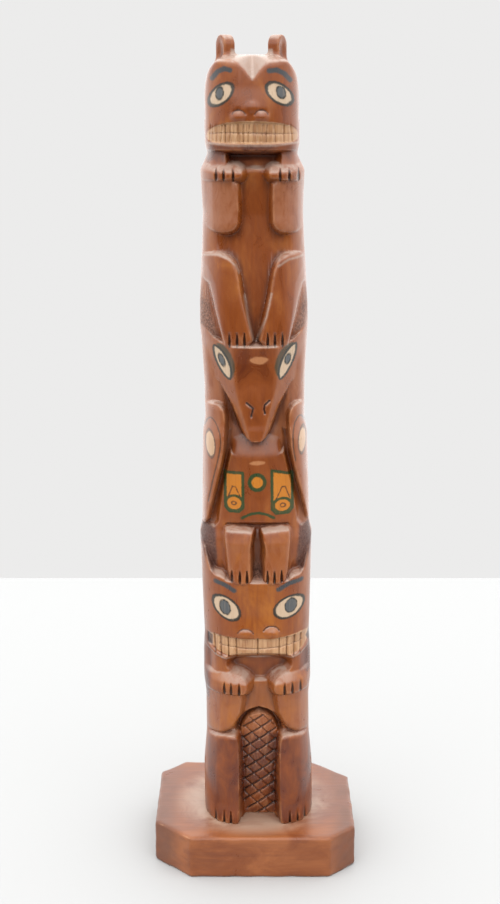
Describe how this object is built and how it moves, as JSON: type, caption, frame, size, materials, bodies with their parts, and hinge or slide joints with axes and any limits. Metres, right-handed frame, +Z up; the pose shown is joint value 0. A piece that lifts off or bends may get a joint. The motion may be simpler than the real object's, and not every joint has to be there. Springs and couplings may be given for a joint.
{
  "type": "totem pole",
  "caption": "Carved wooden model totem pole, a bear above a long-beaked bird above a beaver, standing on its own octagonal plinth.",
  "frame": {"origin": "middle of the plinth's underside, on the ground", "axes": "+Z up along the pole, the carved front faces -Y, +X to the right seen from the front"},
  "size_m": [0.076, 0.067, 0.305],
  "materials": {
    "carved_cedar": "varnished, stained, with painted eyes, teeth and chest panels",
    "plinth_wood": "varnished and stained"
  },
  "bodies": {
    "root": {"totem_pole": "carved_cedar", "plinth": "plinth_wood"}
  },
  "joints": []
}
